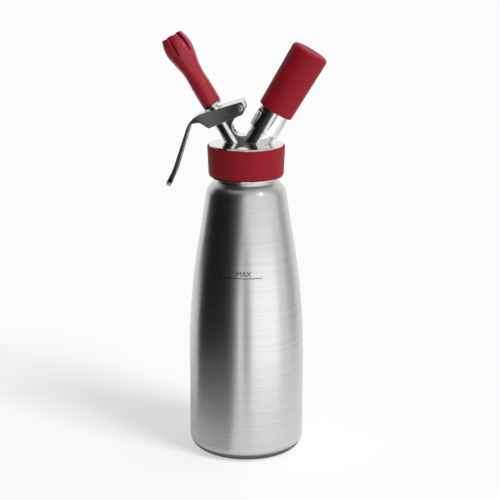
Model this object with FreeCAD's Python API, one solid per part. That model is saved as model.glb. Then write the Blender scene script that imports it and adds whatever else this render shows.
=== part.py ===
"""Whipped cream dispenser: a steel bottle, a screwed head with a squeeze lever, a sprung
valve that carries the decorator tip, and a holder for the gas charger.

Millimetres. The origin is the centre of the bottle's flat base, +Z is up, and +X points to
the charger side. The valve leans to -X and the charger holder leans to +X.
"""
import os
from math import cos, hypot, radians, sin, sqrt, tan

import FreeCAD, Part

V = FreeCAD.Vector
os.makedirs("parts", exist_ok=True)

# Clearances
fit = 0.05              # a sliding or screwed fit, on the radius
running = 0.3           # between parts that pass each other
seat_gap = 0.1          # between parts that rest on each other

# Bottle
bottle_radius = 47.5
bottle_wall = 0.9
base_corner = 11.0
taper_corner = 126.3     # height where the side and the taper would meet
taper_blend = 582.0
taper_slope = 0.16
shoulder_height = 224.0
shoulder_radius = 12.0
shoulder_rise = 35.0    # degrees from level
neck_radius = 26.0
neck_wall = 3.5
neck_length = 22.391    # from its foot on the shoulder to its rim

# Gasket in the head
gasket_thickness = 2.3
gasket_tab_width = 7.0
gasket_tab_length = 4.0

# Head casting
deck_thickness = 5.0
deck_dome = 4.0
skirt_clearance = 4.2   # from the neck's foot up to the skirt's lower edge
skirt_wall = 2.2
skirt_lip = 1.2
skirt_lip_stand = 1.4
rim_height = 1.3
rim_stand = 1.6
rim_bevel = 0.8
valve_foot = 7.7        # from the middle to the valve axis, on the deck plane
valve_lean = 30.85
port_foot = 7.0         # from the middle to the port axis, on the deck plane
port_lean = 30.4

# Collar grip
grip_wall = 2.1         # at its lower edge
grip_flare = 1.1        # how much wider it is at its upper edge
grip_bottom_round = 2.0
grip_top_round = 0.9

# Valve, heights along the valve axis from the deck plane
stem_radius = 3.95
stem_bore = 2.0
stem_thread_length = 13.0
seat_depth = 2.5
chamber_radius = 6.2
chamber_length = 5.5
chamber_wall = 2.0
guide_top = 8.0
tube_radius = 7.5
tube_top = 25.0
seal_thickness = 1.45
seal_radius = 5.6
disc_thickness = 1.5
disc_radius = 5.2
nut_height = 2.4
nut_across_flats = 10.0
side_port_radius = 1.0
oring_width = 1.8
oring_groove = 1.0
lower_oring = 3.3
upper_oring = 6.9
collar_thickness = 3.0
collar_radius = 7.0
spring_outer = 6.0
spring_wire = 1.0
valve_stroke = 3.23

# Lever, in its own directions: along the plate from the pin, and up from the pin
pin_x = -4.1
pin_rise = 31.7         # above the deck plane
lever_slope = 17.4
lever_width = 22.0
lever_sheet = 1.5
pin_to_plate = 3.2      # from the pin's centre to the plate's underside
plate_length = 40.7     # from the pin to the bend
bend_angle = 54.1
bend_radius = 21.0
handle_length = 46.5
flare_length = 15.2
flare_angle = 45.0
flare_radius = 60.0
edge_at_bend = 2.0
edge_at_flare = 3.2
edge_at_tip = 4.4
handle_tip_width = 18.0
cheek_nose = 4.0
cheek_depth_front = 5.6
cheek_depth_back = 8.5
cheek_length = 29.3
slot_width = 9.6
slot_length = 12.6
pin_radius = 1.6
pin_head_radius = 2.4
pin_head_height = 0.9
eye_radius = 3.0
web_thickness = 14.0
gap_radius = 8.4
gap_x = -2.5
gap_rise = 16.8

# Decorator tip, lengths along the valve axis
adapter_flange = 1.8
adapter_flange_radius = 8.25
adapter_barrel_radius = 6.0
adapter_barrel_length = 14.2
tip_length = 62.9
tip_foot_radius = 8.0
tip_foot_length = 15.3
tip_groove_depth = 0.5
tip_groove_height = 0.7
tip_waist_radius = 7.5
tip_waist_at = 27.5
tip_belly_radius = 11.3
tip_belly_at = 50.0
tip_mouth_radius = 8.9
tip_wall = 2.2
tooth_count = 6
slit_depth = 16.0
slit_mouth = 3.2
slit_root = 1.0

# Charger port, heights along the port axis from the deck plane
boss_radius = 11.0
boss_top = 13.9
stud_radius = 10.0
stud_length = 12.1
stud_shank_radius = 7.5
stud_shank_length = 7.9
neck_well_radius = 4.7
neck_well_depth = 9.0
gas_hole_radius = 1.2
check_valve_radius = 3.1
check_valve_length = 6.3
pin_base_radius = 2.6
pin_base_height = 2.0
needle_radius = 0.8
needle_length = 4.5
port_gasket_thickness = 2.2
port_gasket_bore = 1.6

# Gas charger, a standard cartridge
charger_radius = 9.0
charger_length = 65.0
charger_neck_radius = 4.3
charger_neck_length = 9.0
charger_shoulder = 7.5
charger_wall = 1.2
charger_neck_round = 2.0
charger_shoulder_round = 5.0

# Charger holder
cup_radius = 13.0
cup_end_wall = 1.4
cup_end_round = 2.5
sleeve_start = 18.9     # above the holder's lower end
sleeve_foot_radius = 14.55
sleeve_head_radius = 15.6
sleeve_end_wall = 3.2
sleeve_end_round = 3.2

# Places worked out from the sizes
ridge_radius = bottle_radius - taper_slope * (shoulder_height - taper_corner)
neck_foot = shoulder_height + (ridge_radius - neck_radius) * tan(radians(shoulder_rise))
bottle_height = neck_foot + neck_length
gasket_z = bottle_height + seat_gap
ceiling_z = gasket_z + gasket_thickness + seat_gap
deck_z = ceiling_z + deck_thickness
skirt_bore = neck_radius + running
skirt_radius = skirt_bore + skirt_wall
skirt_bottom = neck_foot + skirt_clearance
pin_z = deck_z + pin_rise
gap_z = deck_z + gap_rise
plate_top = pin_to_plate + lever_sheet
cup_foot = boss_top + seat_gap * 2
stud_top = boss_top + stud_length
well_floor = stud_top - neck_well_depth
charger_foot = well_floor + port_gasket_thickness + seat_gap * 3


def about_y(angle):
    """A turn about the Y axis, in degrees."""
    return FreeCAD.Rotation(V(0, 1, 0), angle)


valve_axis = FreeCAD.Placement(V(-valve_foot, 0, deck_z), about_y(-valve_lean))
port_axis = FreeCAD.Placement(V(port_foot, 0, deck_z), about_y(port_lean))
lever_frame = FreeCAD.Placement(
    V(pin_x, 0, pin_z),
    about_y(-lever_slope).multiply(FreeCAD.Rotation(V(0, 0, 1), 180)),
)


def along_valve(x, z):
    """The place in the X-Z plane of a point given beside and along the valve axis."""
    place = valve_axis.multVec(V(x, 0, z))
    return place.x, place.z


def plate_underside(x):
    """Height along the valve axis of the lever plate's underside, x beside that axis."""
    pin = valve_axis.inverse().multVec(V(pin_x, 0, pin_z))
    tilt = radians(valve_lean - lever_slope)
    return pin.z + pin_to_plate / cos(tilt) + tan(tilt) * (pin.x - x)


collar_top = plate_underside(collar_radius) - seat_gap
adapter_foot = plate_underside(-adapter_flange_radius) + lever_sheet + running
tip_foot = adapter_foot + adapter_flange + seat_gap
stem_top = adapter_foot + stem_thread_length


def outline(points):
    """A closed wire in the X-Z plane. A third value rounds its corner with that radius."""
    corners = [(V(p[0], 0, p[1]), p[2] if len(p) > 2 else 0.0) for p in points]
    stations = []
    for i, (corner, radius) in enumerate(corners):
        before = (corners[i - 1][0] - corner).normalize()
        after = (corners[(i + 1) % len(corners)][0] - corner).normalize()
        if radius == 0.0:
            stations.append((corner, None, corner))
            continue
        half = before.getAngle(after) / 2
        reach = radius / tan(half)
        middle = (before + after).normalize()
        touch = corner + middle * (radius / sin(half) - radius)
        stations.append((corner + before * reach, touch, corner + after * reach))
    edges = []
    for i, (start, touch, end) in enumerate(stations):
        if touch is not None:
            edges.append(Part.Arc(start, touch, end).toShape())
        following = stations[(i + 1) % len(stations)][0]
        if (following - end).Length > 1e-7:
            edges.append(Part.makeLine(end, following))
    return Part.Wire(edges)


def turned(points):
    """A solid turned about the Z axis from an outline of radius and height."""
    return Part.Face(outline(points)).revolve(V(0, 0, 0), V(0, 0, 1), 360)


def plate(points, thickness):
    """A plate with an X-Z outline, centred on Y."""
    face = Part.Face(outline(points))
    face.translate(V(0, -thickness / 2, 0))
    return face.extrude(V(0, thickness, 0))


def rod(radius, low, high):
    """A cylinder on the Z axis between two heights."""
    return Part.makeCylinder(radius, high - low, V(0, 0, low))


def ring(outer, inner, low, high):
    """A plain ring on the Z axis."""
    return rod(outer, low, high).cut(rod(inner, low, high))


def cross_rod(radius, length, x, z):
    """A cylinder along Y, centred on the middle plane."""
    return Part.makeCylinder(radius, length, V(x, -length / 2, z), V(0, 1, 0))


def placed(shape, placement):
    """A copy of the shape moved from its own axis to its place."""
    moved = shape.copy()
    moved.transformShape(placement.toMatrix())
    return moved


def save(name, shape):
    """Writes one node, with its faces on one plane or cylinder joined."""
    clean = shape.removeSplitter()
    solids = clean.Solids
    if not clean.isValid() or not solids:
        raise ValueError("bad solid in " + name)
    body = solids[0] if len(solids) == 1 else Part.makeCompound(solids)
    body.exportStep("parts/" + name + ".step")
    print("%-18s %d solid  %9.1f mm3" % (name, len(solids), body.Volume))



def bottle_side(inset, neck):
    """The side of the bottle from base to neck rim, moved inwards by the inset."""
    side = bottle_radius - inset
    slant = inset * sqrt(1 + taper_slope ** 2)
    rise = tan(radians(shoulder_rise))
    drop = inset / cos(radians(shoulder_rise))
    corner_z = taper_corner + (inset - slant) / taper_slope
    level = shoulder_height + ridge_radius * rise - drop
    ridge_z = (level - (bottle_radius - slant + taper_slope * taper_corner) * rise)
    ridge_z = ridge_z / (1 - taper_slope * rise)
    ridge_x = bottle_radius - slant - taper_slope * (ridge_z - taper_corner)
    return [
        (side, corner_z, taper_blend - inset),
        (ridge_x, ridge_z, shoulder_radius - inset),
        (neck, level - neck * rise),
        (neck, bottle_height),
    ]


def bottle():
    """The drawn bottle: thin walls, a flat base and a thick threaded neck."""
    mouth = neck_radius - neck_wall
    outside = turned(
        [(0, 0), (bottle_radius, 0, base_corner)]
        + bottle_side(0, neck_radius)
        + [(0, bottle_height)]
    )
    hollow = turned(
        [(0, bottle_wall), (bottle_radius - bottle_wall, bottle_wall, base_corner - bottle_wall)]
        + bottle_side(bottle_wall, mouth)[:-1]
        + [(mouth, bottle_height + 1), (0, bottle_height + 1)]
    )
    return outside.cut(hollow)


def head_gasket():
    """A flat sealing ring over the neck's rim, with a tab to pull it out by."""
    mouth = neck_radius - neck_wall
    seal = ring(neck_radius, mouth, gasket_z, gasket_z + gasket_thickness)
    tab = Part.makeBox(
        gasket_tab_width, gasket_tab_length + 1, gasket_thickness,
        V(-gasket_tab_width / 2, mouth - gasket_tab_length, gasket_z),
    )
    return seal.fuse(tab)


def web_outline():
    """The flat web from the valve tube to the lever's eye and across to the port."""
    eye_angle = radians(46)
    eye_back = radians(-20)
    gap_angle = radians(135)
    return [
        along_valve(0, 0),
        along_valve(0, tube_top),
        along_valve(tube_radius, tube_top),
        (pin_x - eye_radius * sin(eye_angle), pin_z + eye_radius * cos(eye_angle)),
        (pin_x + eye_radius * cos(eye_back), pin_z + eye_radius * sin(eye_back)),
        (gap_x + gap_radius * cos(gap_angle), gap_z + gap_radius * sin(gap_angle)),
        (gap_x, gap_z),
        (port_foot, gap_z - gap_radius / 2),
        (port_foot, ceiling_z + 1),
        (-valve_foot, ceiling_z + 1),
    ]


def head_body():
    """The casting before it is bored: domed deck, skirt, valve tube, web and port boss."""
    rim_z = deck_z + rim_height
    lip = skirt_radius + skirt_lip_stand
    cap = turned([
        (0, ceiling_z), (skirt_bore, ceiling_z), (skirt_bore, skirt_bottom),
        (lip, skirt_bottom, 0.5), (lip, skirt_bottom + skirt_lip), (skirt_radius, skirt_bottom + skirt_lip),
        (skirt_radius, deck_z), (skirt_radius + rim_stand, deck_z),
        (skirt_radius + rim_stand, rim_z - rim_bevel), (skirt_radius + rim_stand - rim_bevel, rim_z),
        (skirt_radius - rim_bevel, rim_z),
        (neck_radius / 2, deck_z + deck_dome * 0.75, 40), (0, deck_z + deck_dome),
    ])
    reach = chamber_length + seat_depth
    tube = placed(rod(tube_radius, -2 * deck_thickness, tube_top), valve_axis)
    boss = placed(rod(boss_radius, -2 * deck_thickness, boss_top), port_axis)
    spigot = placed(rod(chamber_radius + chamber_wall, -reach, 0), valve_axis)
    above = Part.makeCylinder(skirt_radius + tube_top, pin_rise + tube_top, V(0, 0, ceiling_z + deck_thickness / 4))
    web = plate(web_outline(), web_thickness)
    eye = cross_rod(eye_radius, lever_width - 2 * lever_sheet - 2 * seat_gap * 2, pin_x, pin_z)
    body = cap.multiFuse([tube.common(above), boss.common(above), web, eye])
    gap = cross_rod(gap_radius, 3 * web_thickness, gap_x, gap_z)
    boss_top_part = placed(rod(boss_radius, 0, boss_top), port_axis).common(above)
    return body.cut(gap.cut(boss_top_part)).fuse(spigot)


def head():
    """The head casting with its valve bores, pin hole and port."""
    reach = chamber_length + seat_depth
    bores = [
        placed(rod(stem_radius + fit, -reach - 1, tube_top + 1), valve_axis),
        placed(rod(chamber_radius, -2 * reach, -seat_depth), valve_axis),
        placed(rod(spring_outer + fit * 4, guide_top, tube_top + 1), valve_axis),
        cross_rod(pin_radius, lever_width, pin_x, pin_z),
        placed(rod(stud_shank_radius, boss_top - stud_shank_length, boss_top + 1), port_axis),
    ]
    pocket = port_axis.multVec(V(0, 0, boss_top - stud_shank_length))
    bores.append(Part.makeCylinder(
        gas_hole_radius, pocket.z - ceiling_z + 1, V(pocket.x, 0, ceiling_z - 1)))
    body = head_body()
    for bore in bores:
        body = body.cut(bore)
    return body


def collar_grip():
    """The soft band round the skirt, a little wider at its upper edge."""
    outer = skirt_radius + grip_wall
    low = skirt_bottom + skirt_lip
    return turned([
        (skirt_radius, low), (outer, low, min(grip_bottom_round, grip_wall - seat_gap)),
        (outer + grip_flare, deck_z, grip_top_round), (skirt_radius, deck_z),
    ])


def groove(middle):
    """The cut for an O-ring round the stem."""
    return ring(stem_radius + 1, stem_radius - oring_groove, middle - oring_width / 2, middle + oring_width / 2)


nut_foot = -seat_depth - seal_thickness - disc_thickness - nut_height
stem_foot = nut_foot - 0.8


def valve_stem():
    """The hollow stem, closed at its foot, with four side ports above the seal."""
    solid_foot = -seat_depth - seat_gap * 3
    stem = rod(stem_radius, stem_foot, stem_top).cut(rod(stem_bore, solid_foot, stem_top + 1))
    port_z = -seat_depth + side_port_radius - seat_gap
    for angle in (0, 90):
        port = Part.makeCylinder(side_port_radius, 4 * stem_radius, V(-2 * stem_radius, 0, port_z), V(1, 0, 0))
        port.rotate(V(0, 0, port_z), V(0, 0, 1), angle)
        stem = stem.cut(port)
    return placed(stem.cut(groove(lower_oring)).cut(groove(upper_oring)), valve_axis)


def stem_oring(middle):
    """A rounded ring that fills its groove and slides in the guide bore."""
    half = oring_width / 2 - fit
    inner = stem_radius - oring_groove
    outer = stem_radius + fit * 0.5
    return placed(turned([
        (inner, middle - half), (outer, middle - half, 0.4), (outer, middle + half, 0.4), (inner, middle + half),
    ]), valve_axis)


def valve_seal():
    """The soft washer that closes against the seat inside the head."""
    top = -seat_depth - fit
    return placed(ring(seal_radius, stem_radius, -seat_depth - seal_thickness, top), valve_axis)


def valve_disc():
    """The steel washer that backs the seal."""
    top = -seat_depth - seal_thickness
    return placed(ring(disc_radius, stem_radius, top - disc_thickness, top), valve_axis)


def valve_nut():
    """The hexagon nut on the stem's foot."""
    across_corners = nut_across_flats / sqrt(3)
    face = Part.Face(Part.makePolygon([
        V(across_corners * cos(radians(60 * i)), across_corners * sin(radians(60 * i)), nut_foot) for i in range(7)
    ]))
    nut = face.extrude(V(0, 0, nut_height))
    return placed(nut.cut(rod(stem_radius, nut_foot - 1, nut_foot + nut_height + 1)), valve_axis)


def thrust_collar():
    """The collar that the lever presses and the spring lifts."""
    low = collar_top - collar_thickness
    return placed(turned([
        (stem_radius, low), (collar_radius, low, 0.4), (collar_radius, collar_top), (stem_radius, collar_top),
    ]), valve_axis)


def valve_spring():
    """The return spring between the tube's floor and the collar, as its outer sleeve."""
    low = guide_top + seat_gap
    high = collar_top - collar_thickness - seat_gap
    return placed(ring(spring_outer, spring_outer - spring_wire, low, high), valve_axis)


def handle_direction(angle):
    """Along the handle, in the lever's own plane."""
    return V(cos(radians(angle)), 0, -sin(radians(angle)))


def handle_inward(angle):
    """Square to the handle, towards the bottle."""
    return V(-sin(radians(angle)), 0, -cos(radians(angle)))


def lever():
    """One pressed channel: cheeks at the pin, a slotted top plate and a dished handle."""
    bend = V(plate_length, 0, plate_top)
    along = handle_direction(bend_angle)
    flare = bend + along * handle_length
    end_direction = handle_direction(flare_angle)
    tip = flare + end_direction * flare_length
    inner_bend = bend + along * 5.4 + handle_inward(bend_angle) * edge_at_bend
    inner_flare = flare + handle_inward(bend_angle) * edge_at_flare
    inner_tip = tip + handle_inward(flare_angle) * edge_at_tip
    flange = outline([
        (-3.0, plate_top, 1.5), (bend.x, bend.z, bend_radius), (flare.x, flare.z, flare_radius),
        (tip.x, tip.z, 2.0), (inner_tip.x, inner_tip.z, 2.0), (inner_flare.x, inner_flare.z, flare_radius),
        (inner_bend.x, inner_bend.z, 4.0), (35.0, -1.7, 4.0), (cheek_length, -cheek_depth_back, 1.2),
        (-0.5, -cheek_depth_front, 3.5), (-cheek_nose, -2.0, 3.5),
    ])
    dish_tip = tip - end_direction * lever_sheet
    dish = outline([
        (-20, plate_top - lever_sheet),
        (bend.x - lever_sheet * tan(radians(bend_angle / 2)), plate_top - lever_sheet, bend_radius - lever_sheet),
        tuple(flare + handle_inward((bend_angle + flare_angle) / 2) * lever_sheet)[::2] + (flare_radius,),
        tuple(dish_tip + handle_inward(flare_angle) * lever_sheet)[::2],
        tuple(dish_tip + handle_inward(flare_angle) * 4 * edge_at_tip)[::2],
        (-20, -6 * plate_length),
    ])
    width = lever_width / 2
    shape = solid_between(flange, 2 * width).common(plan_form(0, bend))
    shape = shape.cut(solid_between(dish, 3 * width).common(plan_form(lever_sheet, bend)))
    for side in (-1, 1):
        shape = shape.cut(Part.makeCylinder(pin_radius + fit, lever_width, V(0, side * width * 2, 0), V(0, -side, 0)))
    slot_at = lever_frame.inverse().multVec(valve_axis.multVec(V(0, 0, plate_underside(0)))).x
    shape = shape.cut(slot_cutter(slot_at))
    return placed(shape, lever_frame)


def solid_between(wire, thickness):
    """The outline as a plate centred on Y."""
    face = Part.Face(wire)
    face.translate(V(0, -thickness / 2, 0))
    return face.extrude(V(0, thickness, 0))


def plan_form(inset, bend):
    """The lever's width seen square to the handle: it narrows to a round tip."""
    half = lever_width / 2 - inset
    tip_half = handle_tip_width / 2 - inset
    turn = radians(bend_angle - flare_angle)
    tip_at = handle_length + flare_length * cos(turn) - inset + edge_at_tip * sin(turn)
    far = 3 * plate_length
    wire = outline([
        (-far, -half), (0, -half), (tip_at, -tip_half, tip_half - 0.6),
        (tip_at, tip_half, tip_half - 0.6), (0, half), (-far, half),
    ])
    face = Part.Face(wire)
    face.rotate(V(0, 0, 0), V(1, 0, 0), -90)
    prism = face.extrude(V(0, 0, 4 * plate_length))
    prism.translate(V(0, 0, -2 * plate_length))
    prism.rotate(V(0, 0, 0), V(0, 1, 0), bend_angle)
    prism.translate(bend)
    return prism


def slot_cutter(middle):
    """The long hole in the top plate for the stem."""
    straight = slot_length - slot_width
    height = 4 * lever_sheet
    low = pin_to_plate - lever_sheet
    slot = Part.makeBox(straight, slot_width, height, V(middle - straight / 2, -slot_width / 2, low))
    ends = [Part.makeCylinder(slot_width / 2, height, V(middle + side * straight / 2, 0, low)) for side in (-1, 1)]
    return slot.multiFuse(ends)


def lever_pin():
    """The riveted pin through the lever's cheeks and the head's eye."""
    half = lever_width / 2 + seat_gap
    pin = turned([
        (0, -half - pin_head_height), (pin_head_radius, -half - pin_head_height, 0.6),
        (pin_head_radius, -half), (pin_radius, -half), (pin_radius, half), (pin_head_radius, half),
        (pin_head_radius, half + pin_head_height, 0.6), (0, half + pin_head_height),
    ])
    pin.rotate(V(0, 0, 0), V(1, 0, 0), 90)
    pin.translate(V(pin_x, 0, pin_z))
    return pin


def tip_adapter():
    """The flanged steel insert that screws on the stem and holds the decorator tip."""
    shoulder = adapter_foot + adapter_flange
    top = shoulder + adapter_barrel_length
    bore = stem_radius + fit
    end_wall = top - stem_top - seat_gap
    return placed(turned([
        (bore, adapter_foot), (adapter_flange_radius, adapter_foot, 0.4), (adapter_flange_radius, shoulder, 0.4),
        (adapter_barrel_radius, shoulder), (adapter_barrel_radius, top), (stem_bore + 0.5, top),
        (stem_bore + 0.5, top - end_wall), (bore, top - end_wall),
    ]), valve_axis)


def decorator_tip():
    """The tulip tip: a straight foot, a waist, a belly and six teeth round the mouth."""
    mouth_z = tip_foot + tip_length
    groove_z = tip_foot + tip_foot_length
    foot_z = groove_z + tip_groove_height
    waist_z = tip_foot + tip_waist_at
    belly_z = tip_foot + tip_belly_at
    bore_top = adapter_foot + adapter_flange + adapter_barrel_length + seat_gap
    outer = Part.BSplineCurve()
    outer.interpolate([
        V(tip_foot_radius, 0, foot_z), V(tip_waist_radius, 0, waist_z),
        V(0.56 * tip_belly_radius + 0.44 * tip_waist_radius, 0, 0.5 * (waist_z + belly_z) + 1),
        V(tip_belly_radius, 0, belly_z), V(tip_mouth_radius, 0, mouth_z),
    ])
    inner = Part.BSplineCurve()
    inner.interpolate([
        V(stem_bore + 1, 0, bore_top), V(tip_waist_radius - tip_wall, 0, waist_z + 3),
        V(0.56 * tip_belly_radius + 0.44 * tip_waist_radius - tip_wall, 0, 0.5 * (waist_z + belly_z) + 1.5),
        V(tip_belly_radius - tip_wall, 0, belly_z + 0.5), V(tip_mouth_radius - tip_wall + 0.4, 0, mouth_z),
    ])
    barrel_bore = adapter_barrel_radius + fit
    steps = [
        V(barrel_bore, 0, tip_foot), V(tip_foot_radius, 0, tip_foot),
        V(tip_foot_radius, 0, groove_z), V(tip_foot_radius - tip_groove_depth, 0, groove_z),
        V(tip_foot_radius - tip_groove_depth, 0, foot_z), V(tip_foot_radius, 0, foot_z),
    ]
    inner_steps = [V(stem_bore + 1, 0, bore_top), V(barrel_bore, 0, bore_top), V(barrel_bore, 0, tip_foot)]
    wire = Part.Wire(
        Part.makePolygon(steps).Edges + [outer.toShape()]
        + [Part.makeLine(V(tip_mouth_radius, 0, mouth_z), V(tip_mouth_radius - tip_wall + 0.4, 0, mouth_z))]
        + [inner.toShape()] + Part.makePolygon(inner_steps).Edges
    )
    shell = Part.Face(wire).revolve(V(0, 0, 0), V(0, 0, 1), 360)
    return placed(shell.cut(tip_slits(mouth_z)), valve_axis)


def tip_slits(mouth_z):
    """Tapered slits between the teeth, with round roots."""
    root_z = mouth_z - slit_depth
    reach = 2 * tip_belly_radius
    top_half = slit_mouth / 2 * 1.1
    wedge = Part.Face(Part.makePolygon([
        V(-slit_root / 2, 0, root_z), V(slit_root / 2, 0, root_z),
        V(top_half, 0, mouth_z + 1.6), V(-top_half, 0, mouth_z + 1.6), V(-slit_root / 2, 0, root_z),
    ])).extrude(V(0, reach, 0))
    root = Part.makeCylinder(slit_root / 2, reach, V(0, 0, root_z), V(0, 1, 0))
    slit = wedge.fuse(root)
    slits = []
    for i in range(tooth_count):
        copy = slit.copy()
        copy.rotate(V(0, 0, 0), V(0, 0, 1), 360 / tooth_count * (i + 0.5))
        slits.append(copy)
    return slits[0].multiFuse(slits[1:])


def port_stud():
    """The threaded stud in the port boss, with the well for the charger's neck."""
    foot = boss_top - stud_shank_length
    stud = rod(stud_shank_radius, foot, boss_top).fuse(turned([
        (0, boss_top), (stud_radius, boss_top), (stud_radius, stud_top, 0.8), (0, stud_top),
    ]))
    cuts = [
        rod(neck_well_radius, well_floor, stud_top + 1),
        rod(gas_hole_radius, foot - 1, well_floor + 1),
        rod(pin_base_radius, well_floor - pin_base_height, well_floor + 1),
        rod(check_valve_radius + fit, foot - 1, foot + check_valve_length),
    ]
    for cut in cuts:
        stud = stud.cut(cut)
    return placed(stud, port_axis)


def check_valve():
    """The rubber non-return valve under the needle: a cap with a slit end."""
    foot = boss_top - stud_shank_length + seat_gap
    body = rod(check_valve_radius, foot, foot + check_valve_length - 2 * seat_gap)
    bore = rod(gas_hole_radius, foot + 1.2, foot + check_valve_length)
    slit = Part.makeBox(2 * gas_hole_radius, 0.4, 3, V(-gas_hole_radius, -0.2, foot - 1))
    return placed(body.cut(bore).cut(slit), port_axis)


def piercing_pin():
    """The hollow-ground needle that opens the charger."""
    base = rod(pin_base_radius, well_floor - pin_base_height, well_floor)
    point = needle_radius * 2
    needle = rod(needle_radius, well_floor, well_floor + needle_length - point)
    cone = Part.makeCone(needle_radius, 0.1, point, V(0, 0, well_floor + needle_length - point))
    gas_flat = rod(pin_base_radius, well_floor - pin_base_height - 1, well_floor + needle_length + 1)
    gas_flat.translate(V(needle_radius * 0.4 + pin_base_radius, 0, 0))
    return placed(base.fuse(needle).fuse(cone).cut(gas_flat), port_axis)


def port_gasket():
    """The seal that the charger's neck presses on."""
    return placed(
        ring(neck_well_radius - fit, port_gasket_bore, well_floor, well_floor + port_gasket_thickness), port_axis)


def charger():
    """The steel cartridge, pierced at its neck."""
    neck_z = charger_foot + charger_neck_length
    body_z = neck_z + charger_shoulder
    top = charger_foot + charger_length
    wall = charger_wall
    outside = turned([
        (0, charger_foot), (charger_neck_radius, charger_foot, 0.6), (charger_neck_radius, neck_z, charger_neck_round),
        (charger_radius, body_z, charger_shoulder_round), (charger_radius, top, charger_radius - 0.5), (0, top),
    ])
    inside = turned([
        (0, charger_foot + wall), (charger_neck_radius - wall, charger_foot + wall),
        (charger_neck_radius - wall, neck_z, charger_neck_round),
        (charger_radius - wall, body_z, charger_shoulder_round),
        (charger_radius - wall, top - wall, charger_radius - wall - 0.5), (0, top - wall),
    ])
    pierced = rod(needle_radius + 2 * fit, charger_foot - 1, charger_foot + 2 * wall)
    return placed(outside.cut(inside).cut(pierced), port_axis)


def holder_cup():
    """The metal holder: a threaded mouth and a deep bore for the charger."""
    foot = cup_foot
    bore = charger_radius + running
    thread_bore = stud_radius + 2 * fit
    thread_top = stud_top + 1.5
    bore_end = charger_foot + charger_length + running
    top = bore_end + cup_end_wall
    return placed(turned([
        (thread_bore + 0.5, foot), (cup_radius, foot, 0.6), (cup_radius, top, cup_end_round), (0, top),
        (0, bore_end), (bore, bore_end, bore - 1), (bore, thread_top + 2),
        (thread_bore, thread_top), (thread_bore, foot + 0.5),
    ]), port_axis)


def holder_grip():
    """The soft sleeve over the holder, slightly wider and rounded at its end."""
    foot = cup_foot + sleeve_start
    cup_top = charger_foot + charger_length + running + cup_end_wall
    top = cup_top + sleeve_end_wall
    return placed(turned([
        (cup_radius, foot), (sleeve_foot_radius, foot, 0.5),
        (sleeve_head_radius, top - 0.6, sleeve_end_round), (0, top),
        (0, cup_top), (cup_radius, cup_top, cup_end_round),
    ]), port_axis)


parts = {
    "bottle": bottle(),
    "head_gasket": head_gasket(),
    "head": head(),
    "collar_grip": collar_grip(),
    "valve_stem": valve_stem(),
    "lower_stem_oring": stem_oring(lower_oring),
    "upper_stem_oring": stem_oring(upper_oring),
    "valve_seal": valve_seal(),
    "valve_disc": valve_disc(),
    "valve_nut": valve_nut(),
    "thrust_collar": thrust_collar(),
    "valve_spring": valve_spring(),
    "lever": lever(),
    "lever_pin": lever_pin(),
    "tip_adapter": tip_adapter(),
    "decorator_tip": decorator_tip(),
    "port_stud": port_stud(),
    "check_valve": check_valve(),
    "piercing_pin": piercing_pin(),
    "port_gasket": port_gasket(),
    "charger": charger(),
    "holder_cup": holder_cup(),
    "holder_grip": holder_grip(),
}
for name, shape in parts.items():
    save(name, shape)
print("collar top %.2f, adapter foot %.2f, stem top %.2f" % (collar_top, adapter_foot, stem_top))
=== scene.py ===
"""Looks of a whipped cream dispenser: brushed bottle, polished head, satin lever,
silicone grips, glossy decorator tip, threads and fill line."""
from math import atan2, cos, pi, radians, sin, tan

import bmesh
import bpy
import numpy as np
from mathutils import Matrix, Vector


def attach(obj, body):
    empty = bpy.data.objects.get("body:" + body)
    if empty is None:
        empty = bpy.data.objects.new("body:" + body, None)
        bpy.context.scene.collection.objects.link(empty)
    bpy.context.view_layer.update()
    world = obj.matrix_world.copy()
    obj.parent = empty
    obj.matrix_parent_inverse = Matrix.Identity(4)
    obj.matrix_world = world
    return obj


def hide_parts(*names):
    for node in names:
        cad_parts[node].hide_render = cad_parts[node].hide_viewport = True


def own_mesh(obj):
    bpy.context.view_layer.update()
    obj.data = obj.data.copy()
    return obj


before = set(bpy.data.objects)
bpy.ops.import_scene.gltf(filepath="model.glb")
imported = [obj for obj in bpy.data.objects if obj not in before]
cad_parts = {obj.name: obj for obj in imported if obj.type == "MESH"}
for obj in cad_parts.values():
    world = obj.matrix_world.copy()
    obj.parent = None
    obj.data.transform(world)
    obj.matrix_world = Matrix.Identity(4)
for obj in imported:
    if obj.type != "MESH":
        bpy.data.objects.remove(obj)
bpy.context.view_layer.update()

MM = 0.001

# Axes that the frame gives
deck_z = 0.258
valve_foot = -0.0077
valve_lean = radians(-30.85)
port_foot = 0.0070
port_lean = radians(30.4)


def leaning(foot, lean):
    """The matrix from an axis's own frame to the object's: a turn about Y, then its foot."""
    return Matrix.Translation((foot, 0, deck_z)) @ Matrix.Rotation(lean, 4, "Y")


upright = Matrix.Identity(4)
valve_axis = leaning(valve_foot, valve_lean)
port_axis = leaning(port_foot, port_lean)


# Meshes

def rounded(corners, steps=12):
    """An outline in millimetres as metres: straight runs, with an arc of the third value
    at each corner, tangent to both runs."""
    points = [np.array(c[:2], float) for c in corners]
    radii = [c[2] if len(c) > 2 else 0.0 for c in corners]
    out = []
    for i, (corner, radius) in enumerate(zip(points, radii)):
        if radius == 0.0 or i in (0, len(points) - 1):
            out.append(corner[None])
            continue
        before = points[i - 1] - corner
        after = points[i + 1] - corner
        before /= np.linalg.norm(before)
        after /= np.linalg.norm(after)
        half = 0.5 * np.arccos(np.clip(before @ after, -1, 1))
        middle = (before + after) / np.linalg.norm(before + after)
        centre = corner + middle * radius / sin(half)
        first = corner + before * radius / tan(half) - centre
        last = corner + after * radius / tan(half) - centre
        t = np.linspace(0, 1, steps + 1)[:, None]
        angle = pi - 2 * half
        arc = (np.sin((1 - t) * angle) * first + np.sin(t * angle) * last) / sin(angle)
        out.append(centre + arc)
    return np.concatenate(out) * MM


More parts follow.
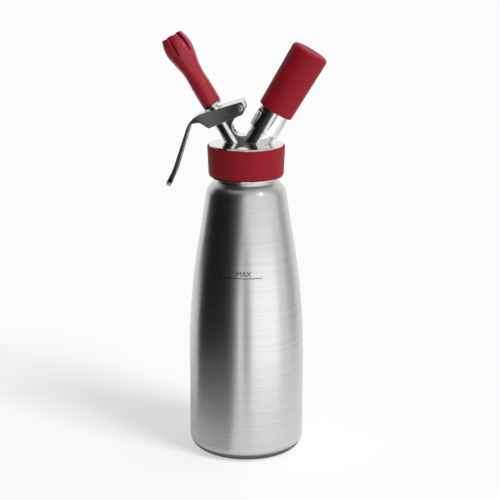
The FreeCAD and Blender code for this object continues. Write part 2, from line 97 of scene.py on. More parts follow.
def densify(profile, longest):
    """The outline with points added so that no run is longer than asked."""
    pieces = []
    for a, b in zip(profile[:-1], profile[1:]):
        count = max(1, int(np.ceil(np.linalg.norm(b - a) / longest)))
        pieces.append(a + (b - a) * np.arange(count)[:, None] / count)
    pieces.append(profile[-1:])
    return np.concatenate(pieces)


def grid_mesh(name, points, wrap_u, wrap_v, place=upright, smooth=40):
    """A mesh from a grid of points, joined along each direction that wraps. Its doubles at
    the poles are merged, its faces point outwards and it is put in its place."""
    rows, columns = points.shape[:2]
    index = np.arange(rows * columns).reshape(rows, columns)
    if wrap_u:
        index = np.concatenate([index, index[:1]])
    if wrap_v:
        index = np.concatenate([index, index[:, :1]], axis=1)
    faces = np.stack([index[:-1, :-1], index[:-1, 1:], index[1:, 1:], index[1:, :-1]], axis=-1)
    mesh = bpy.data.meshes.new(name)
    mesh.from_pydata(points.reshape(-1, 3), [], faces.reshape(-1, 4).tolist())
    return finish_mesh(name, mesh, place, smooth)


def finish_mesh(name, mesh, place, smooth):
    """Cleans a mesh, puts it in its place and makes its object."""
    work = bmesh.new()
    work.from_mesh(mesh)
    bmesh.ops.remove_doubles(work, verts=work.verts, dist=1e-7)
    bmesh.ops.dissolve_degenerate(work, edges=work.edges, dist=1e-8)
    bmesh.ops.recalc_face_normals(work, faces=work.faces)
    work.to_mesh(mesh)
    work.free()
    mesh.transform(place)
    piece = bpy.data.objects.new(name, mesh)
    bpy.context.collection.objects.link(piece)
    shade(piece, smooth)
    return piece


def shade(piece, angle):
    """Smooth shading with the edges sharper than the angle kept crisp."""
    piece.data.shade_smooth()
    piece.data.set_sharp_from_angle(angle=radians(angle))


def lathe(name, profile, place=upright, around=160, closed=False, smooth=40):
    """A turned piece: x = r cos a, y = r sin a, z = h for each outline point (r, h)."""
    angle = np.linspace(0, 2 * pi, around, endpoint=False)[:, None]
    radius, height = profile[:, 0][None], profile[:, 1][None]
    points = np.stack([radius * np.cos(angle), radius * np.sin(angle), height + 0 * angle], axis=-1)
    return grid_mesh(name, points, True, closed, place, smooth)


def screw_thread(name, root, crest, pitch, low, high, place, around=72):
    """A helical ridge: a triangular section of the pitch's width carried round a helix,
    with its height fading to nothing over the first and last half turn."""
    turns = (high - low) / pitch - 1
    t = np.linspace(0, 1, int(turns * around))
    angle = 2 * pi * turns * t
    fade = np.clip(np.minimum(t, 1 - t) * turns * 2, 0, 1)
    middle = low + pitch * (0.5 + turns * t)
    section = np.array([[-0.46, -0.1], [-0.40, 0.0], [-0.08, 1.0], [0.08, 1.0], [0.40, 0.0], [0.46, -0.1]])
    radius = root + (crest - root) * section[None, :, 1] * fade[:, None]
    height = middle[:, None] + pitch * section[None, :, 0]
    points = np.stack([radius * np.cos(angle)[:, None], radius * np.sin(angle)[:, None], height], axis=-1)
    return grid_mesh(name, points * MM, False, True, place, 60)


def tube(name, path, radius, sides=12, place=upright):
    """A round wire along a path: a circle square to the path at each point, ends closed."""
    tangent = np.gradient(path, axis=0)
    tangent /= np.linalg.norm(tangent, axis=1)[:, None]
    side = np.cross(tangent, [0.0, 0.0, 1.0])
    side /= np.linalg.norm(side, axis=1)[:, None]
    up = np.cross(side, tangent)
    a = np.linspace(0, 2 * pi, sides, endpoint=False)
    scale = np.ones(len(path) + 2)
    scale[[0, -1]] = 0
    path = np.concatenate([path[:1], path, path[-1:]])
    side = np.concatenate([side[:1], side, side[-1:]])
    up = np.concatenate([up[:1], up, up[-1:]])
    ring = side[:, None] * np.cos(a)[None, :, None] + up[:, None] * np.sin(a)[None, :, None]
    points = path[:, None] + ring * (radius * scale)[:, None, None]
    return grid_mesh(name, points, False, True, place, 60)


# Materials

class Signal:
    """A number that varies over a surface: arithmetic on it adds Math nodes."""

    def __init__(self, nodes, socket):
        self.nodes = nodes
        self.socket = socket

    def math(self, operation, *terms):
        node = self.nodes.tree.nodes.new("ShaderNodeMath")
        node.operation = operation
        for slot, term in zip(node.inputs, terms):
            self.nodes.feed(slot, term)
        return Signal(self.nodes, node.outputs[0])

    def __add__(self, other):
        return self.math("ADD", self, other)

    def __mul__(self, other):
        return self.math("MULTIPLY", self, other)

    def __sub__(self, other):
        return self.math("SUBTRACT", self, other)

    def __rsub__(self, other):
        return self.math("SUBTRACT", other, self)

    def __truediv__(self, other):
        return self.math("DIVIDE", self, other)

    __radd__ = __add__
    __rmul__ = __mul__

    def clamped(self):
        return self.math("MINIMUM", self.math("MAXIMUM", self, 0.0), 1.0)

    def above(self, edge, soft):
        """A smooth step that rises from 0 to 1 about the edge."""
        return ((self - (edge - soft)) / (2 * soft)).clamped()


class Nodes:
    """A node tree and the ways to add to it."""

    def __init__(self, tree):
        self.tree = tree

    def feed(self, socket, value):
        if isinstance(value, Signal):
            value = value.socket
        if isinstance(value, bpy.types.NodeSocket):
            self.tree.links.new(value, socket)
        else:
            socket.default_value = value

    def node(self, kind, settings=None, output=0, **inputs):
        """Adds any node: its settings first, then the values or links of its sockets."""
        node = self.tree.nodes.new("ShaderNode" + kind)
        for label, value in (settings or {}).items():
            setattr(node, label, value)
        for label, value in inputs.items():
            self.feed(node.inputs[label.replace("_", " ")], value)
        return Signal(self, node.outputs[output])

    def place(self, axis=upright):
        """Object coordinates seen from an axis's own frame."""
        inverse = axis.inverted()
        return self.node(
            "Mapping", Vector=self.node("TexCoord", output=3),
            Rotation=tuple(inverse.to_euler("XYZ")), Location=tuple(inverse.to_translation()),
        )

    def split(self, vector):
        node = self.tree.nodes.new("ShaderNodeSeparateXYZ")
        self.feed(node.inputs[0], vector)
        return [Signal(self, out) for out in node.outputs]

    def scaled(self, vector, size):
        return self.node("Mapping", Vector=vector, Scale=size)

    def noise(self, vector, scale, detail=3.0, rough=0.5):
        return self.node("TexNoise", Vector=vector, Scale=scale, Detail=detail, Roughness=rough)

    def mix(self, factor, first, second):
        node = self.tree.nodes.new("ShaderNodeMix")
        node.data_type = "RGBA"
        self.feed(node.inputs[0], factor)
        for slot, colour in ((node.inputs[6], first), (node.inputs[7], second)):
            self.feed(slot, colour if isinstance(colour, Signal) else (*colour, 1))
        return Signal(self, node.outputs[2])

    def bump(self, height, distance, strength=1.0, normal=None):
        node = self.tree.nodes.new("ShaderNodeBump")
        self.feed(node.inputs["Height"], height)
        node.inputs["Distance"].default_value = distance
        node.inputs["Strength"].default_value = strength
        if normal is not None:
            self.feed(node.inputs["Normal"], normal)
        return Signal(self, node.outputs[0])

    def mix_shader(self, factor, first, second):
        node = self.tree.nodes.new("ShaderNodeMixShader")
        self.feed(node.inputs[0], factor)
        self.feed(node.inputs[1], first)
        self.feed(node.inputs[2], second)
        return Signal(self, node.outputs[0])

    def ray(self, kind):
        """1 where the ray is of the kind that Light Path names."""
        return self.node("LightPath", output=kind)

    def show(self, shader, output="Material Output"):
        """Makes a shader what the tree shows."""
        self.feed(self.tree.nodes[output].inputs[0], shader)


class Material(Nodes):
    """A material and its node tree."""

    def __init__(self, name):
        self.material = bpy.data.materials.new(name)
        self.material.use_nodes = True
        super().__init__(self.material.node_tree)


class Finish(Material):
    """A material of one Principled shader and the nodes that feed it."""

    def __init__(self, name, colour, roughness, metallic=0.0, **fixed):
        super().__init__(name)
        self.shader = self.tree.nodes["Principled BSDF"]
        self.shader.inputs["Base Color"].default_value = (*colour, 1)
        self.shader.inputs["Roughness"].default_value = roughness
        self.shader.inputs["Metallic"].default_value = metallic
        for label, value in fixed.items():
            self.shader.inputs[label.replace("_", " ")].default_value = value

    def edge(self, radius):
        """The normal of edges rounded by the radius."""
        return self.node("Bevel", settings={"samples": 4}, Radius=radius)

    def set(self, **inputs):
        """Feeds the shader's sockets, each named with underscores for its spaces."""
        for label, value in inputs.items():
            self.feed(self.shader.inputs[label.replace("_", " ")], value)


def brushed(name, colour, axis, along, across, rough, depth, **fixed):
    """Brushed steel: streaks from noise that is stretched by the along and across scales,
    three sizes of them, in tone, roughness and bump, with a few stronger scratches."""
    m = Finish(name, colour, rough, 1.0, **fixed)
    place = m.place(axis)
    fine = m.noise(m.scaled(place, (along, along, across)), 1.0, 4.0, 0.7)
    broad = m.noise(m.scaled(place, (along * 0.4, along * 0.4, across * 0.3)), 1.0, 3.0)
    cloud = m.noise(place, 22.0, 2.0)
    streak = fine * 0.7 + broad * 0.3
    coarse = m.noise(m.scaled(place, (along * 0.7, along * 0.7, across * 0.6)), 1.0, 1.0)
    scratch = coarse.above(0.70, 0.03)
    dark = tuple(c * 0.74 for c in colour)
    light = tuple(min(1.0, c * 1.14) for c in colour)
    tone = (streak * 2.0 - 0.5 + (cloud - 0.5) * 0.2).clamped()
    m.set(
        Base_Color=m.mix(scratch * 0.12, m.mix(tone, dark, light), light),
        Roughness=(rough - 0.06 + streak * 0.10 + cloud * 0.04).clamped(),
        Normal=m.bump(streak + scratch * 0.4, depth, 0.7, m.edge(0.0003)),
    )
    return m


def polished(name, colour, axis, rough):
    """Polished or chromed steel: faint wiping haze, fine hairlines and slight waviness."""
    m = Finish(name, colour, rough, 1.0)
    place = m.place(axis)
    haze = m.noise(place, 60.0, 3.0)
    hair = m.noise(m.scaled(place, (90.0, 90.0, 1600.0)), 1.0, 3.0, 0.6)
    wave = m.noise(place, 90.0, 1.0)
    dark = tuple(c * 0.92 for c in colour)
    m.set(
        Base_Color=m.mix((haze * 1.6 - 0.3).clamped(), dark, colour),
        Roughness=(rough + haze.above(0.55, 0.15) * 0.04 + hair * 0.02).clamped(),
        Normal=m.bump(wave, 0.00003, 0.4, m.edge(0.0005)),
    )
    return m


def silicone(name, colour, axis):
    """Matt moulded silicone: fine grain, a cloudy tone and scattered paler specks of dust."""
    m = Finish(name, colour, 0.5, 0.0, Specular_IOR_Level=0.16)
    place = m.place(axis)
    grain = m.noise(place, 2600.0, 3.0, 0.6)
    cloud = m.noise(place, 35.0, 3.0)
    dust = m.noise(place, 420.0, 2.0).above(0.66, 0.05)
    dark = tuple(c * 0.86 for c in colour)
    pale = tuple(min(1.0, c * 1.15 + 0.01) for c in colour)
    m.set(
        Base_Color=m.mix(dust * 0.2, m.mix((cloud * 1.5 - 0.25).clamped(), dark, colour), pale),
        Roughness=(0.42 + cloud * 0.12 + grain * 0.08).clamped(),
        Normal=m.bump(grain, 0.00004, 0.5, m.edge(0.0004)),
    )
    return m


def moulded(name, colour, axis):
    """Glossy moulded plastic: a slight flow waviness, rubbing haze and a clear skin."""
    m = Finish(name, colour, 0.3, 0.0, Specular_IOR_Level=0.35, Coat_Roughness=0.08)
    place = m.place(axis)
    flow = m.noise(m.scaled(place, (60.0, 60.0, 18.0)), 1.0, 2.0)
    haze = m.noise(place, 150.0, 3.0)
    dark = tuple(c * 0.88 for c in colour)
    m.set(
        Base_Color=m.mix((haze * 1.5 - 0.25).clamped(), dark, colour),
        Roughness=(0.26 + haze.above(0.5, 0.2) * 0.12).clamped(),
        Coat_Weight=0.25 + flow * 0.15,
        Normal=m.bump(flow, 0.0002, 0.5, m.edge(0.0003)),
    )
    return m


def black_rubber(name, axis):
    """Nitrile rubber: nearly black, with a dull moulded grain."""
    m = Finish(name, (0.02, 0.02, 0.022), 0.5)
    place = m.place(axis)
    grain = m.noise(place, 3000.0, 2.0)
    haze = m.noise(place, 300.0, 3.0)
    m.set(
        Base_Color=m.mix(haze, (0.014, 0.014, 0.016), (0.04, 0.04, 0.042)),
        Roughness=0.4 + haze * 0.25,
        Normal=m.bump(grain, 0.00003, 0.5),
    )
    return m


def etched(name):
    """The dark etched marks: dull oxide, mottled where the etch was thin."""
    m = Finish(name, (0.02, 0.02, 0.02), 0.6, 0.0, Specular_IOR_Level=0.1)
    place = m.place()
    mottle = m.noise(place, 1500.0, 3.0)
    m.set(
        Base_Color=m.mix(mottle.above(0.6, 0.1), (0.012, 0.012, 0.011), (0.05, 0.05, 0.045)),
        Roughness=0.5 + mottle * 0.2,
    )
    return m


# Studio

white = (1, 1, 1, 1)
studio_camera_distance = 1.2
studio_camera_height = 0.4887
studio_camera_turn = radians(4.5)
studio_camera_pitch = radians(14.884)
studio_camera_yaw = radians(0.148)
studio_lens = 108.17
sun_towards = (1.4, -0.95, 1.6)
sun_power = 2.5
sun_spread = radians(22)
floor_reach = 8.0
floor_share_for_lens = 0.55
floor_share_for_metal = 0.2

# The rings that the cards stand on, and the height of the tall ones
near = 0.22
far = 0.36
high = 0.8


def make_camera():
    """The photograph's view: slightly from the charger's side, looking down a little."""
    data = bpy.data.cameras.new("camera")
    data.lens = studio_lens
    data.clip_start = 0.01
    camera = bpy.data.objects.new("camera", data)
    bpy.context.collection.objects.link(camera)
    camera.location = (
        studio_camera_distance * sin(studio_camera_turn),
        -studio_camera_distance * cos(studio_camera_turn),
        studio_camera_height,
    )
    camera.rotation_euler = (pi / 2 - studio_camera_pitch, 0, studio_camera_turn - studio_camera_yaw)
    bpy.context.scene.camera = camera


def make_sun():
    """One broad even lamp, so that the floor stays level in tone. Metal doesn't see it."""
    data = bpy.data.lights.new("window", "SUN")
    data.energy = sun_power
    data.angle = sun_spread
    lamp = bpy.data.objects.new("window", data)
    bpy.context.collection.objects.link(lamp)
    lamp.visible_glossy = False
    lamp.rotation_euler = Vector(sun_towards).to_track_quat("Z", "Y").to_euler()


def make_world():
    """A white studio, brighter from the charger's side. Metal sees pale walls."""
    world = bpy.data.worlds.new("studio")
    world.use_nodes = True
    bpy.context.scene.world = world
    m = Nodes(world.node_tree)
    across, _, up = m.split(m.node("TexCoord", output=0))
    seen = m.node("Background", Color=white, Strength=1.0)
    walls = m.node("Background", Color=white, Strength=0.95 - up.above(0.75, 0.2) * 0.35)
    fill = m.node("Background", Color=white, Strength=0.42 + across * 0.40)
    glossy = m.mix_shader(m.ray("Is Glossy Ray"), fill, walls)
    m.show(m.mix_shader(m.ray("Is Camera Ray"), glossy, seen), "World Output")


def make_floor():
    """A pale floor that the lens and metal see nearly white and that takes a shadow."""
    mesh = bpy.data.meshes.new("floor")
    corners = [(floor_reach * x, floor_reach * y, 0) for x, y in ((-1, -1), (1, -1), (1, 1), (-1, 1))]
    mesh.from_pydata(corners, [], [(0, 1, 2, 3)])
    floor = bpy.data.objects.new("floor", mesh)
    bpy.context.collection.objects.link(floor)
    m = Material("studio_floor")
    matt = m.node("BsdfDiffuse", Color=(0.95, 0.95, 0.95, 1))
    glow = m.node("Emission", Color=white, Strength=1.0)
    share = m.ray("Is Camera Ray") * floor_share_for_lens + m.ray("Is Glossy Ray") * floor_share_for_metal
    m.show(m.mix_shader(share, matt, glow))
    mesh.materials.append(m.material)


def card(name, first, last, start, end, tone):
    """A curved card round the object that only metal sees. It runs between two points of
    radius and height: x = r sin a, y = -r cos a, z = h, with a in degrees from -Y to +X."""
    angle = np.radians(np.linspace(first, last, 24))
    radius, height = np.array([start, end]).T[:, :, None]
    points = np.stack([radius * np.sin(angle), -radius * np.cos(angle), height + 0 * angle], axis=-1)
    piece = grid_mesh(name, points, False, False)
    m = Material(name)
    m.show(m.node("Emission", Color=(tone, tone, tone, 1), Strength=1.0))
    piece.data.materials.append(m.material)
    piece.visible_camera = False
    piece.visible_diffuse = False
    piece.visible_shadow = False


def make_cards():
    """The cards that the steel mirrors: dark ones on the lever's side, with tones that
    lighten towards the foot, a bright wall on the charger's side, and small ones that the
    web, the cheek, the handle, the cup and the tip see."""
    for name, first, last, start, end, tone in (
        ("left_flag", -102, -23, (near, 0.036), (near, 0.205), 0.010),
        ("left_low_flag", -102, -23, (near, 0.018), (near, 0.036), 0.03),
        ("left_foot_flag", -102, -23, (near, 0), (near, 0.018), 0.08),
        ("left_far_floor_flag", -102, -18, (0.17, 0.001), (near, 0.001), 0.20),
        ("left_near_floor_flag", -102, -18, (0.12, 0.001), (0.17, 0.001), 0.36),
        ("left_floor_flag", -102, -18, (0.055, 0.001), (0.12, 0.001), 0.54),
        # A dark ring lying on the floor round the bottle's foot that only metal sees: painted shade where the
        # bottle stands, which the foot's rounded corner mirrors as a dark contact line.
        ("painted_contact_shade", -180, 180, (0.036, 0.0006), (0.0505, 0.0006), 0.12),
        ("left_half_flag", -23, -11.5, (near, 0), (near, 0.185), 0.10),
        ("thin_light", -9, -4, (near, 0), (near, 0.185), 1.6),
        ("lens_flag", -1, 11, (near, 0), (near, 0.185), 0.34),
        ("right_wall", 14, 68, (near, 0), (near, 0.185), 1.5),
        ("tip_light", 52, 62, (far, 0.56), (far, 0.62), 14.0),
        ("high_left_flag", -118, -34, (far, 0.10), (far, high), 0.010),
        ("web_flag", -8, -2, (far, 0.160), (far, 0.181), 0.75),
        ("pin_flag", -7.8, -3, (far, 0.181), (far, high), 0.01),
        ("cheek_flag", -9.6, -7.8, (far, 0.160), (far, high), 0.08),
        ("cheek_end_flag", -12.4, -9.6, (far, 0.160), (far, high), 0.22),
        ("handle_flag", -34, -12.4, (far, 0.10), (far, high), 0.04),
        ("cup_seam_flag", 19, 25, (far, 0.09), (far, 0.19), 0.02),
        ("right_edge_flag", 95, 125, (far, 0), (far, high), 0.55),
    ):
        card(name, first, last, start, end, tone)


# Pieces, in millimetres

bottle_radius = 47.5
bottle_wall = 0.9
base_round = 11
taper_corner = 126.3
taper_slope = 0.16
taper_blend = 582.0
ridge_height = 224
ridge_round = 12
ridge_radius = bottle_radius - taper_slope * (ridge_height - taper_corner)
shoulder_slope = tan(radians(35))
neck_root = 25.1
neck_crest = 25.95
neck_lip = 25.7
neck_mouth = 22.5
neck_rim = 250.5
mark_stand = 0.03
cup_inside = 10.35
cup_radius = 13.0
cup_foot = 14.1
cup_top = 86.2
tip_foot = 38.96
tip_groove = 54.26
tip_mouth = 101.86
tip_turn = radians(-8)
slit_root = tip_mouth - 16.5
slit_round = 0.5
slit_flare = 0.078


def bottle_radius_at(z):
    """The bottle's radius in millimetres: straight, then one long arc, then a cone."""
    lean = atan2(taper_slope, 1)
    start = taper_corner - taper_blend * tan(lean / 2)
    end = start + taper_blend * sin(lean)
    blend = bottle_radius - taper_blend + np.sqrt(np.maximum(taper_blend ** 2 - (z - start) ** 2, 0))
    cone = bottle_radius - taper_slope * (z - taper_corner)
    return np.where(z <= start, bottle_radius, np.where(z >= end, cone, blend))


def fit_out(piece, finish, body, slot, *nodes):
    """Gives a piece its finish and its body, and hides the nodes that it stands for. The slot is not used."""
    piece.data.materials.append(finish.material)
    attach(piece, body)
    if nodes:
        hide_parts(*nodes)
    return piece


def make_bottle():
    """The drawn shell, turned from its outside, over the neck's rim and down its inside."""
    inside = bottle_radius - bottle_wall
    profile = rounded([
        (0, 0), (bottle_radius, 0, base_round), (bottle_radius, taper_corner, taper_blend),
        (ridge_radius, ridge_height, ridge_round),
        (neck_root, ridge_height + (ridge_radius - neck_root) * shoulder_slope, 1.5),
        (neck_root, 249.4, 0.4), (neck_lip, 249.6, 0.3), (neck_lip, neck_rim, 0.6),
        (neck_mouth, neck_rim, 0.6), (neck_mouth, 228.0, 2.0), (ridge_radius - 1.2, 221.8, 10),
        (inside, taper_corner, 580), (inside, bottle_wall, base_round - bottle_wall), (0, bottle_wall),
    ], 24)
    shell = lathe("bottle_shell", densify(profile, 0.008), around=256)
    fit_out(shell, bottle_steel, "bottle", "brushed_shell", "bottle")
    thread = screw_thread("neck_thread", neck_root, neck_crest, 3.0, 234.5, 248.5, upright)
    fit_out(thread, bottle_steel, "bottle", "brushed_shell")


def wrap_on_bottle(points, stand):
    """Carries flat points (across, height) in millimetres round the bottle's front: the
    angle is across / r(z), and they stand off the surface by the given amount."""
    radius = bottle_radius_at(points[..., 1])
    angle = points[..., 0] / radius
    radius = radius + stand
    return np.stack([radius * np.sin(angle), -radius * np.cos(angle), points[..., 1]], axis=-1) * MM


def mark_bar(name, low, high):
    """A thin etched bar between two corners, wrapped on the bottle's front."""
    across = np.linspace(low[0], high[0], max(2, int((high[0] - low[0]) / 0.8)))
    height = np.linspace(low[1], high[1], 3)[:, None]
    flat = np.stack([across + 0 * height, height + 0 * across], axis=-1)
    bar = grid_mesh(name, wrap_on_bottle(flat, mark_stand), False, False)
    fit_out(bar, etch, "bottle", "brushed_shell")


def make_fill_marks():
    """The fill line with its word, and two upright ticks beside it."""
    mark_bar("fill_line", (-15.6, 156.7), (16.4, 157.25))
    mark_bar("fill_tick_outer", (-20.3, 156.5), (-19.8, 162.2))
    mark_bar("fill_tick_inner", (-18.2, 156.5), (-17.7, 162.2))
    data = bpy.data.curves.new("fill_word", "FONT")
    data.body = "MAX"
    data.size = 5.6
    data.align_x = "CENTER"
    data.resolution_u = 6
    text = bpy.data.objects.new("fill_word_flat", data)
    bpy.context.collection.objects.link(text)
    bpy.context.view_layer.update()
    mesh = bpy.data.meshes.new_from_object(text)
    bpy.data.objects.remove(text)
    work = bmesh.new()
    work.from_mesh(mesh)
    bmesh.ops.triangulate(work, faces=work.faces)
    bmesh.ops.subdivide_edges(work, edges=work.edges, cuts=1)
    work.to_mesh(mesh)
    work.free()
    flat = np.empty(len(mesh.vertices) * 3)
    mesh.vertices.foreach_get("co", flat)
    flat = flat.reshape(-1, 3)[:, :2] + (1.2, 158.7)
    mesh.vertices.foreach_set("co", wrap_on_bottle(flat, mark_stand).ravel())
    word = bpy.data.objects.new("fill_word", mesh)
    bpy.context.collection.objects.link(word)
    fit_out(word, etch, "bottle", "brushed_shell")


def make_grip():
    """The band: flared sides, a rounded foot and a thin rounded top edge."""
    profile = rounded([
        (28.5, 246), (28.5, 233.51, 0.3), (30.6, 233.51, 1.9), (31.15, 246), (31.7, 258, 0.9),
        (28.5, 258, 0.3), (28.5, 246),
    ], 10)
    band = lathe("collar_grip_band", densify(profile, 0.004)[:-1], around=200, closed=True)
    fit_out(band, grip_rubber, "head", "grip_rubber", "collar_grip")


def make_holder():
    """The chromed cup with its threaded mouth, and the silicone sleeve over it."""
    cup = rounded([
        (0, 84.8), (1, 84.8), (9.3, 84.8, 8.2), (9.3, 29.5), (cup_inside, 28.0, 0.3), (cup_inside, 14.8, 0.2),
        (10.7, cup_foot, 0.2), (cup_radius, cup_foot, 0.6), (cup_radius, cup_top, 2.5), (1, cup_top),
        (0, cup_top),
    ], 10)
    shell = lathe("holder_cup_shell", densify(cup, 0.004), port_axis, 192)
    fit_out(shell, cup_steel, "charger_holder", "polished_cup", "holder_cup")
    thread = screw_thread("holder_thread", 10.45, 10.12, 1.5, 15.2, 27.0, port_axis)
    fit_out(thread, cup_steel, "charger_holder", "polished_cup")
    sleeve = rounded([
        (cup_radius, 60), (cup_radius, 33.2, 0.2), (14.55, 33.0, 0.6), (15.57, 88.8, 3.0), (1, 89.4),
        (0, 89.4),
    ], 12)
    inner = rounded([(0, cup_top), (cup_radius, cup_top, 2.5), (cup_radius, 60)], 8)
    profile = np.concatenate([densify(sleeve, 0.004), densify(inner, 0.004)[:-1]])
    grip = lathe("holder_sleeve", profile, port_axis, 192, True)
    fit_out(grip, sleeve_rubber, "charger_holder", "sleeve_rubber", "holder_grip")


def make_spring():
    """The return spring: a round wire on a helix, with a closed turn at each end."""
    low, high = 8.6, 27.91
    turns, coils = 900, 6.5
    t = np.linspace(0, 1, turns)
    rise = np.clip((t * coils - 0.8) / (coils - 1.6), 0, 1)
    angle = 2 * pi * coils * t
    path = np.stack([5.5 * np.cos(angle), 5.5 * np.sin(angle), low + (high - low) * rise], axis=-1)
    spring = tube("return_spring", path * MM, 0.0005, 10, valve_axis)
    fit_out(spring, stem_steel, "head", "spring_steel", "valve_spring")
    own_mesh(spring)


def make_tip():
    """The tulip tip. Each of its six sectors is a loop round the wall at every height h: an
    arc of the outer radius, a rounded corner, an arc of the inner radius and back. Above
    the slits' roots the sector stops short of its neighbours by the slit's half width
    w(h), and below them it meets them, so the loop's ends are left open there and join."""
    foot, groove, mouth = tip_foot, tip_groove, tip_mouth
    outer_at = np.array([
        (foot, 7.6), (foot + 0.25, 7.9), (foot + 0.5, 8.0), (groove - 0.3, 8.0), (groove, 7.75),
        (groove + 0.02, 7.5), (groove + 0.66, 7.5), (groove + 0.7, 7.85), (groove + 1.0, 8.0), (57.0, 7.93),
        (60.0, 7.72), (63.5, 7.55), (67.0, 7.6), (70.5, 7.9), (74.0, 8.45), (77.5, 9.2), (81.0, 10.0),
        (84.5, 10.7), (88.0, 11.15), (90.5, 11.25), (93.0, 11.05), (96.0, 10.5), (99.0, 9.7),
        (mouth - 0.5, 8.95), (mouth, 8.75),
    ])
    inner_at = np.array([
        (foot, 6.3), (foot + 0.3, 6.05), (53.2, 6.05), (53.22, 3.0), (56.0, 3.2), (62.0, 5.0), (69.0, 5.7),
        (75.0, 6.8), (81.0, 8.0), (86.0, 8.9), (90.5, 9.1), (95.0, 8.7), (mouth, 7.2),
    ])
    level = np.unique(np.concatenate([
        outer_at[:, 0], inner_at[:, 0], np.linspace(foot, slit_root, 60),
        slit_root + slit_round * (1 - np.cos(np.linspace(0, pi / 2, 7))),
        np.linspace(slit_root + slit_round, mouth, 34),
    ]))
    outer = smooth_curve(outer_at, level)
    inner = smooth_curve(inner_at, level)
    up = level - slit_root
    arc = np.sqrt(np.clip(slit_round ** 2 - (slit_round - up) ** 2, 0, 1))
    gap = np.where(up < slit_round, arc, slit_round + (up - slit_round) * slit_flare)
    gap = np.where(up <= 0, 0.0, gap)
    soft = np.minimum(0.45, gap * 0.9)
    for lift, inset in ((0.15, 0.28), (0.27, 0.6)):
        level = np.append(level, mouth + lift)
        outer = np.append(outer, outer[-1] - inset * 0.7)
        inner = np.append(inner, inner[-1] + inset * 0.5)
        gap = np.append(gap, gap[-1] + inset * 0.5)
        soft = np.append(soft, 0.3)
    across = np.linspace(-1, 1, 17)
    corner = np.linspace(0, pi / 2, 5)[1:]
    sixth = pi / 6
    outer_half = sixth - np.arcsin(np.clip((gap + soft) / outer, 0, 1))
    inner_half = sixth - np.arcsin(np.clip((gap + soft) / inner, 0, 1))
    turn, reach = [], []
    for side in (1, -1):
        wall = (outer, outer_half, -1) if side == 1 else (inner, inner_half, 1)
        turn.append(wall[1][:, None] * across[None] * side)
        reach.append(wall[0][:, None] + 0 * across[None])
        other = (inner, inner_half, 1) if side == 1 else (outer, outer_half, -1)
        for radius, half, inward, sweep in ((*wall, corner), (*other, corner[::-1])):
            spread = np.arcsin(np.clip(soft / radius, 0, 1))[:, None] * np.sin(sweep)[None]
            turn.append((half[:, None] + spread) * side)
            reach.append(radius[:, None] + inward * soft[:, None] * (1 - np.cos(sweep))[None])
    turn = np.concatenate(turn, axis=1)
    reach = np.concatenate(reach, axis=1)
    height = level[:, None] + 0 * turn
    loop = turn.shape[1]
    half_loop = loop // 2
    rows = len(level)
    index = np.arange(rows * loop).reshape(rows, loop)
    wrapped = np.concatenate([index, index[:, :1]], axis=1)
    faces = np.stack([wrapped[:-1, :-1], wrapped[:-1, 1:], wrapped[1:, 1:], wrapped[1:, :-1]], axis=-1)
    walls = np.ones((rows - 1, loop), bool)
    below = level[1:] <= slit_root + 1e-6
    side_columns = np.concatenate([np.arange(16, half_loop), np.arange(16 + half_loop, loop)])
    walls[np.ix_(below, side_columns)] = False
    faces = faces[walls]
    rim = index[-1]
    ends = []
    for row in (index[0], rim):
        outer_row = row[:17]
        inner_row = row[half_loop:half_loop + 17][::-1]
        ends.append(np.stack([outer_row[:-1], outer_row[1:], inner_row[1:], inner_row[:-1]], axis=-1))
    caps = [rim[16:half_loop + 1].tolist(), np.append(rim[half_loop + 16:], rim[0]).tolist()]
    quads = np.concatenate([faces, *ends])
    vertices, polygons = [], []
    for i in range(6):
        angle = turn + i * pi / 3 + tip_turn
        points = np.stack([reach * np.cos(angle), reach * np.sin(angle), height], axis=-1).reshape(-1, 3)
        vertices.append(points * MM)
        polygons += (quads + i * rows * loop).tolist()
        polygons += [[v + i * rows * loop for v in cap] for cap in caps]
    mesh = bpy.data.meshes.new("tulip_tip")
    mesh.from_pydata(np.concatenate(vertices), [], polygons)
    tip = finish_mesh("tulip_tip", mesh, valve_axis, 45)
    fit_out(tip, tip_plastic, "decorator_tip", "tip_plastic", "decorator_tip")


def smooth_curve(knots, at):
    """Radius at each height: a cubic Hermite curve through the knots, whose slope at a knot
    is the harmonic mean of its neighbours' slopes, or level where they differ in sign."""
    z, r = knots[:, 0], knots[:, 1]
    run = np.diff(z)
    slope = np.diff(r) / run
    product = slope[:-1] * slope[1:]
    mean = 2 * product / np.where(product > 0, slope[:-1] + slope[1:], 1)
    tangent = np.concatenate([[slope[0]], np.where(product > 0, mean, 0.0), [slope[-1]]])
    i = np.clip(np.searchsorted(z, at, side="right") - 1, 0, len(run) - 1)
    t = (at - z[i]) / run[i]
    h = run[i]
    return (
        (2 * t ** 3 - 3 * t ** 2 + 1) * r[i] + (t ** 3 - 2 * t ** 2 + t) * h * tangent[i]
        + (3 * t ** 2 - 2 * t ** 3) * r[i + 1] + (t ** 3 - t ** 2) * h * tangent[i + 1]
    )


def dress(node, finish):
    """Gives a CAD node its finish."""
    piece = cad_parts[node]
    piece.data.materials.clear()
    piece.data.materials.append(finish.material)


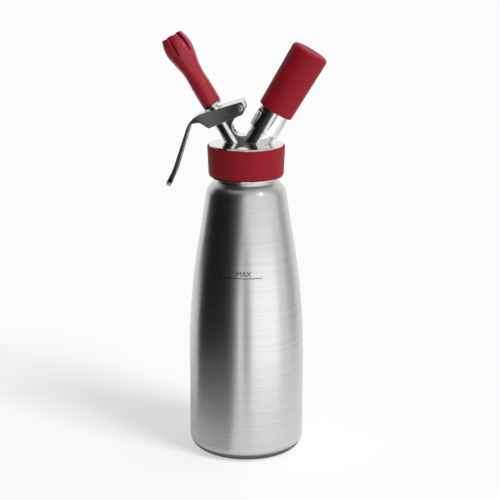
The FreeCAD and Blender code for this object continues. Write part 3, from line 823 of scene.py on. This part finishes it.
make_camera()
make_world()
make_floor()
make_sun()
make_cards()

bottle_steel = brushed(
    "brushed_bottle", (0.66, 0.66, 0.655), upright, 9.0, 2600.0, 0.32, 0.00003,
    Anisotropic=0.5, Anisotropic_Rotation=0.25,
)
head_steel = polished("polished_head", (0.80, 0.80, 0.79), upright, 0.08)
cup_steel = polished("chromed_cup", (0.82, 0.82, 0.83), port_axis, 0.05)
stem_steel = polished("turned_stem", (0.74, 0.74, 0.74), valve_axis, 0.14)
lever_steel = brushed("satin_lever", (0.66, 0.66, 0.66), upright, 60.0, 60.0, 0.11, 0.00001)
grip_rubber = silicone("collar_silicone", (0.25, 0.004, 0.012), upright)
sleeve_rubber = silicone("sleeve_silicone", (0.26, 0.005, 0.013), port_axis)
tip_plastic = moulded("tip_plastic", (0.30, 0.006, 0.020), valve_axis)
gasket_rubber = silicone("gasket_silicone", (0.30, 0.02, 0.03), upright)
nitrile = black_rubber("nitrile", valve_axis)
cartridge = brushed("cartridge_steel", (0.55, 0.56, 0.58), port_axis, 40.0, 900.0, 0.32, 0.00002)
etch = etched("etched_marks")

make_bottle()
make_fill_marks()
make_grip()
make_holder()
make_spring()
make_tip()
stem_thread = screw_thread("stem_thread", 3.75, 3.98, 0.8, 36.2, 49.6, valve_axis)
fit_out(stem_thread, stem_steel, "valve", "turned_steel")
stud_thread = screw_thread("stud_thread", 9.7, 10.08, 1.5, 14.6, 25.2, port_axis)
fit_out(stud_thread, cup_steel, "head", "polished_casting")
for node, finish in {
    "head": head_steel, "head_gasket": gasket_rubber, "lever": lever_steel, "lever_pin": stem_steel,
    "valve_stem": stem_steel, "valve_disc": stem_steel, "valve_nut": stem_steel,
    "thrust_collar": stem_steel, "valve_seal": nitrile, "lower_stem_oring": nitrile,
    "upper_stem_oring": nitrile, "check_valve": nitrile, "tip_adapter": stem_steel,
    "port_stud": cup_steel, "piercing_pin": cup_steel, "port_gasket": gasket_rubber,
    "charger": cartridge,
}.items():
    dress(node, finish)

bpy.context.scene.view_settings.view_transform = "Standard"
